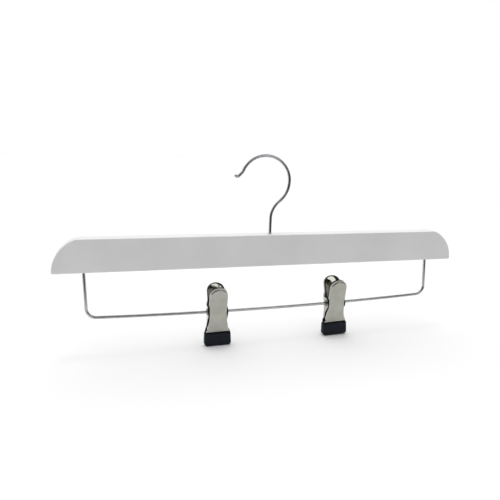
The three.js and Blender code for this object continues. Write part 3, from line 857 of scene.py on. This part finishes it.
def jaw_mesh(waist, ear):
    """The pressing: two skins a sheet's thickness apart and the raw edges that close them.
    The edges and a band along the handle's rim are listed as dull: they take the near-black finish, painted
    shade along the rim."""
    rows = jaw_rows(waist, ear)
    vertices = []
    for inset in (0, SHEET):
        for row in rows:
            half = jaw_section(row, ear, inset)
            vertices += half + [(-x, y, z) for x, y, z in reversed(half[:-1])]
    columns = len(vertices) // (2 * len(rows))
    skin = len(rows) * columns
    faces = []
    dull = []
    for i in range(len(rows) - 1):
        here, above = i * columns, (i + 1) * columns
        for j in range(columns - 1):
            from_rim = min(j, columns - 2 - j)
            # The band along the handle's rim is painted near black, as shade
            if rows[i][1] > ear["radius"] and from_rim < PAINTED_RIM_SHADE_STEPS:
                dull += [len(faces), len(faces) + 1]
            faces.append((here + j, here + j + 1, above + j + 1, above + j))
            faces.append((skin + here + j, skin + above + j, skin + above + j + 1, skin + here + j + 1))
    for i in range(len(rows) - 1):
        here, above = i * columns, (i + 1) * columns
        for j in (0, columns - 1):
            dull.append(len(faces))
            faces.append((here + j, above + j, skin + above + j, skin + here + j))
    for j in range(columns - 1):
        faces.append((j, skin + j, skin + j + 1, j + 1))
    return vertices, faces, dull


def make_jaw(name, waist, ear, place, materials, node, body):
    vertices, faces, dull = jaw_mesh(waist, ear)
    jaw = new_piece(name, vertices, faces, place, materials, dull)
    past = Vector((FLARE_WIDTH, 0, 0))
    carve(jaw, [rod_tool(-past, past, RIVET_RADIUS + RUNNING_GAP, place)])
    finish_piece(jaw, node)
    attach(jaw, body)


# Rivet and spring

def rivet_mesh():
    """A tube whose ends are rolled over into rims."""
    rim_inside = OUTER_WAIST / 2 + SEAT_GAP
    roll = RIVET_RIM_THICKNESS / 2
    middle = rim_inside + roll
    bore = RIVET_BORE / 2
    rim = RIVET_RADIUS + RIVET_RIM
    turns = quarter_turns(FILLET_STEPS)
    half = [(RIVET_RADIUS, rim_inside), (rim - roll, rim_inside)]
    half += [(rim - roll + roll * math.sin(t), middle - roll * math.cos(t)) for t in turns[1:]]
    half += [(rim - roll + roll * math.cos(t), middle + roll * math.sin(t)) for t in turns[1:]]
    half += [(bore + roll - roll * math.sin(t), middle + roll * math.cos(t)) for t in turns]
    return lathe_mesh(half + [(r, -x) for r, x in reversed(half)], "X")


def spring_stations():
    """A coil on the rivet whose legs splay until their tips press on the handles' insides."""
    tip_seat = PIVOT_TO_FACE * math.cos(HANDLE_LEAN) - SHEET - SEAT_GAP - SPRING_WIRE / 2
    radius = RIVET_RADIUS + RUNNING_GAP + SPRING_WIRE / 2
    lean = HANDLE_LEAN + math.asin((tip_seat - radius) / SPRING_LEG)
    sweep = math.pi - 2 * lean + 2 * math.pi * SPRING_WHOLE_TURNS
    length = SPRING_PITCH * sweep / (2 * math.pi)
    stations = []
    parts = math.ceil(sweep / COIL_STEP)
    for i in range(parts + 1):
        share = i / parts
        turn = math.pi + lean + share * sweep
        point = Vector(((share - 0.5) * length, radius * math.cos(turn), radius * math.sin(turn)))
        tangent = Vector((length / sweep / radius, -math.sin(turn), math.cos(turn))).normalized()
        stations.append((point, tangent, SPRING_WIRE / 2))
    front_up = Vector((0, -math.sin(lean), math.cos(lean)))
    back_up = Vector((0, math.sin(lean), math.cos(lean)))
    front_tip = stations[0][0] + SPRING_LEG * front_up
    back_tip = stations[-1][0] + SPRING_LEG * back_up
    first = (front_tip, -front_up, SPRING_WIRE / 2)
    last = (back_tip, back_up, SPRING_WIRE / 2)
    return [first, *stations, last], length


def make_spring(side, place, material):
    stations, length = spring_stations()
    spring = new_piece(f"{side}_spring_wire", *wire_mesh(stations, SPRING_SIDES), place, [material])
    finish_piece(spring, f"{side}_clip_spring")
    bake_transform(spring)


# Boots

def boot_outline():
    bottom = BOOT_TOP - BOOT_HEIGHT
    low_x = BOOT_WIDTH / 2 - BOOT_CORNER
    high_x = BOOT_TOP_WIDTH / 2 - BOOT_TOP_CORNER
    right = arc(low_x, bottom + BOOT_CORNER, BOOT_CORNER, -math.pi / 2, 0, FILLET_STEPS)
    right += arc(high_x, BOOT_TOP - BOOT_TOP_CORNER, BOOT_TOP_CORNER, 0, math.pi / 2, FILLET_STEPS)
    return right + [(-x, z) for x, z in reversed(right)]


def lip_outline():
    side = LIP_WIDTH / 2
    right = [(side, BOOT_TOP - LIP_ROOT)]
    right += arc(side - LIP_CORNER, LIP_TOP - LIP_CORNER, LIP_CORNER, 0, math.pi / 2, FILLET_STEPS)
    return right + [(-x, z) for x, z in reversed(right)]


def make_boot(name, place, material, node, body):
    """A cap with a pocket for the toe, grip grooves on its inner side, and a lip behind the metal."""
    back = -SEAT_GAP / 2
    shape = slab_mesh(boot_outline(), back - BOOT_THICKNESS, back, BOOT_ROUND)
    boot = new_piece(name, *shape, place, [material])
    pocket_size = (TOE_WIDTH + 2 * SEAT_GAP, SHEET + 2 * SEAT_GAP, 2 * (BOOT_HEIGHT - BOOT_SOLE))
    tools = [box_tool((0, TOE_FACE + SHEET / 2, BOOT_TOP), pocket_size, 0, place)]
    side = math.sqrt(2) * GRIP_DEPTH
    for i in range(GRIP_GROOVES):
        z = BOOT_TOP - BOOT_HEIGHT / 2 + (i - (GRIP_GROOVES - 1) / 2) * GRIP_PITCH
        tools.append(box_tool((0, back, z), (TOE_WIDTH, side, side), math.pi / 4, place))
    lip_back = back - (BOOT_INNER_WALL - LIP_THICKNESS) / 2
    lip_shape = slab_mesh(lip_outline(), lip_back - LIP_THICKNESS, lip_back, LIP_ROUND)
    carve(boot, tools, [new_piece("lip", *lip_shape, place)])
    finish_piece(boot, node)
    even_normals(boot)
    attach(boot, body)


# Clips

def clip_place(side):
    """From a clip's own millimetres, with its pivot at the origin, to the frame."""
    pivot = next(joint for joint in frame["joints"] if joint["name"] == f"{side}_clip_swing")
    along = Vector(pivot["axis"])
    tilt = Matrix.Rotation(-math.atan2(along.z, along.x), 4, "Y")
    return Matrix.Translation(pivot["pos_m"]) @ tilt @ Matrix.Scale(MM, 4)


def make_clip(side, nickel, edge_and_painted_rim_shade, steel, vinyl):
    """A rivet, a spring and two halves. The back half is the front one turned round, with the wider waist."""
    front = clip_place(side)
    back = front @ Matrix.Rotation(math.pi, 4, "Z")
    rivet = new_piece(f"{side}_rivet_tube", *rivet_mesh(), front, [nickel])
    finish_piece(rivet, f"{side}_clip_rivet")
    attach(rivet, f"{side}_rivet")
    make_spring(side, front, steel)
    halves = ("front", front, INNER_WAIST, INNER_EAR), ("back", back, OUTER_WAIST, OUTER_EAR)
    for half, place, waist, ear in halves:
        body = f"{side}_{half}_half"
        # The second finish is near black: bare steel at the cut edges, painted shade on the rim band
        finishes = [nickel, edge_and_painted_rim_shade]
        make_jaw(f"{side}_{half}_pressing", waist, ear, place, finishes, f"{side}_{half}_jaw", body)
        make_boot(f"{side}_{half}_vinyl_boot", place, vinyl, f"{side}_{half}_boot", body)


# Stage, light and camera

def combined(tree, operation, values):
    """Several values drawn together by one operation."""
    result = values[0]
    for value in values[1:]:
        node = tree.nodes.new("ShaderNodeMath")
        node.operation = operation
        tree.links.new(result, node.inputs[0])
        tree.links.new(value, node.inputs[1])
        result = node.outputs["Value"]
    return result


def facing(tree, where, tilt):
    """How nearly a direction is the zenith tilted back by an angle, as the cosine between them."""
    towards = tree.nodes.new("ShaderNodeVectorMath")
    towards.operation = "DOT_PRODUCT"
    towards.inputs[1].default_value = (0, math.sin(tilt), math.cos(tilt))
    tree.links.new(where, towards.inputs[0])
    return towards.outputs["Value"]


def ray_kinds(tree, *kinds):
    path = tree.nodes.new("ShaderNodeLightPath")
    return [path.outputs[kind] for kind in kinds]


def backdrop(tree, strength=None):
    """White all round, at the given strength or at 1."""
    layer = tree.nodes.new("ShaderNodeBackground")
    layer.inputs["Color"].default_value = WHITE
    if strength:
        tree.links.new(strength, layer.inputs["Strength"])
    return layer.outputs["Background"]


def choice(tree, factor, first, second):
    mix = tree.nodes.new("ShaderNodeMixShader")
    tree.links.new(factor, mix.inputs["Fac"])
    tree.links.new(first, mix.inputs[1])
    tree.links.new(second, mix.inputs[2])
    return mix.outputs["Shader"]


def make_floor():
    """A white table that both clips stand on. It glows a little where it is seen, so that it stays white.
    Its apron, nearest the camera, is left out of reflections, where the dark room shows instead."""
    feet = [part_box(f"{side}_front_boot") for side in ("left", "right")]
    left, right = [Vector(((low.x + high.x) / 2, 0, low.z - FLOOR_CLEARANCE)) for low, high in feet]
    slope = math.atan2(right.z - left.z, right.x - left.x)
    half = FLOOR_WIDTH / 2
    place = Matrix.Translation(left) @ Matrix.Rotation(-slope, 4, "Y")
    paper = bpy.data.materials.new("white_floor")
    paper.use_nodes = True
    tree = paper.node_tree
    surface = tree.nodes["Principled BSDF"]
    surface.inputs["Base Color"].default_value = srgb(FLOOR_TONE, FLOOR_TONE, FLOOR_TONE)
    surface.inputs["Roughness"].default_value = FLOOR_ROUGHNESS
    surface.inputs["Specular IOR Level"].default_value = FLOOR_SPECULAR
    surface.inputs["Emission Color"].default_value = WHITE
    rays = ray_kinds(tree, "Is Camera Ray", "Is Glossy Ray", "Is Transmission Ray")
    seen = combined(tree, "MAXIMUM", rays)
    glow = ramp(tree, seen, (0, 1), (0, FLOOR_GLOW))
    tree.links.new(glow, surface.inputs["Emission Strength"])
    for name, front, back in (("floor", FLOOR_FRONT, FLOOR_BACK), ("apron", APRON_FRONT, FLOOR_FRONT)):
        corners = [(-half, front, 0), (half, front, 0), (half, back, 0), (-half, back, 0)]
        sheet = new_piece(name, corners, [(0, 1, 2, 3)], place, [paper])
        sheet.visible_glossy = name == "floor"


def make_world():
    """A white backdrop to the camera, and to the object a bright ceiling over a dim room.
    Shiny pieces see the backdrop behind and above. In front they see a dark room with one softbox, low and
    to the right."""
    world = bpy.data.worlds.new("studio")
    bpy.context.scene.world = world
    world.use_nodes = True
    tree = world.node_tree
    tree.nodes.clear()
    where = tree.nodes.new("ShaderNodeTexCoord").outputs["Generated"]
    way = tree.nodes.new("ShaderNodeSeparateXYZ")
    tree.links.new(where, way.inputs["Vector"])
    softbox = combined(tree, "MULTIPLY", [
        ramp(tree, way.outputs["X"], SOFTBOX_LEFT, (0, SOFTBOX_STRENGTH)),
        ramp(tree, way.outputs["X"], SOFTBOX_RIGHT, (1, 0)),
        ramp(tree, way.outputs["Z"], SOFTBOX_FOOT, (0, 1)),
        ramp(tree, way.outputs["Z"], SOFTBOX_TOP, (1, 0)),
        ramp(tree, way.outputs["Y"], SOFTBOX_FRONT, (1, 0)),
    ])
    overhead = facing(tree, where, CEILING_TILT)
    light = ramp(tree, overhead, CEILING_REACH, (FILL_STRENGTH, CEILING_STRENGTH))
    behind = ramp(tree, facing(tree, where, BACKDROP_TILT), BACKDROP_REACH, (0, 1))
    room = ramp(tree, way.outputs["Z"], ROOM_REACH, ROOM_STRENGTH)
    shiny = combined(tree, "MAXIMUM", ray_kinds(tree, "Is Glossy Ray", "Is Transmission Ray"))
    camera, = ray_kinds(tree, "Is Camera Ray")
    mirrored = combined(tree, "MAXIMUM", [behind, room, softbox])
    shader = backdrop(tree, light)
    shader = choice(tree, shiny, shader, backdrop(tree, mirrored))
    shader = choice(tree, camera, shader, backdrop(tree))
    tree.links.new(shader, tree.nodes.new("ShaderNodeOutputWorld").inputs["Surface"])


def make_sun():
    """A soft overhead light, a little behind the bar. Shiny pieces don't mirror it."""
    lamp = bpy.data.lights.new("overhead", "SUN")
    lamp.energy = SUN_STRENGTH
    lamp.angle = SUN_SIZE
    sun = bpy.data.objects.new("overhead", lamp)
    sun.rotation_euler = (-SUN_BEHIND, 0, 0)
    sun.visible_glossy = False
    bpy.context.scene.collection.objects.link(sun)


def make_camera():
    """The camera at the photograph's place and angle."""
    forward = Vector((
        math.sin(CAMERA_YAW) * math.cos(CAMERA_PITCH),
        math.cos(CAMERA_YAW) * math.cos(CAMERA_PITCH),
        -math.sin(CAMERA_PITCH),
    ))
    level = Vector((math.cos(CAMERA_YAW), -math.sin(CAMERA_YAW), 0))
    plumb = forward.cross(level)
    right = math.cos(CAMERA_ROLL) * level + math.sin(CAMERA_ROLL) * plumb
    down = -math.sin(CAMERA_ROLL) * level + math.cos(CAMERA_ROLL) * plumb
    turn = Matrix((right, -down, -forward)).transposed().to_4x4()
    lens = bpy.data.cameras.new("camera")
    lens.lens = CAMERA_LENS
    lens.sensor_width = CAMERA_SENSOR
    camera = bpy.data.objects.new("camera", lens)
    camera.matrix_world = Matrix.Translation(BAR_ORIGIN + CAMERA_PLACE * MM) @ turn
    bpy.context.scene.collection.objects.link(camera)
    bpy.context.scene.camera = camera


# The hanger and its stage

bar_place = Matrix.Translation(BAR_ORIGIN) @ Matrix.Scale(MM, 4)
clip_finishes = nickel_plate(), cut_steel_and_painted_shade(), spring_steel(), boot_vinyl()
make_bar(bar_place, painted_wood())
make_hook(bar_place, hook_chrome())
make_washer(bar_place, zinc_plate())
make_rail(bar_place, rail_chrome())
for side in ("left", "right"):
    make_clip(side, *clip_finishes)
make_floor()
make_world()
make_sun()
make_camera()
bpy.context.scene.view_settings.view_transform = "Standard"
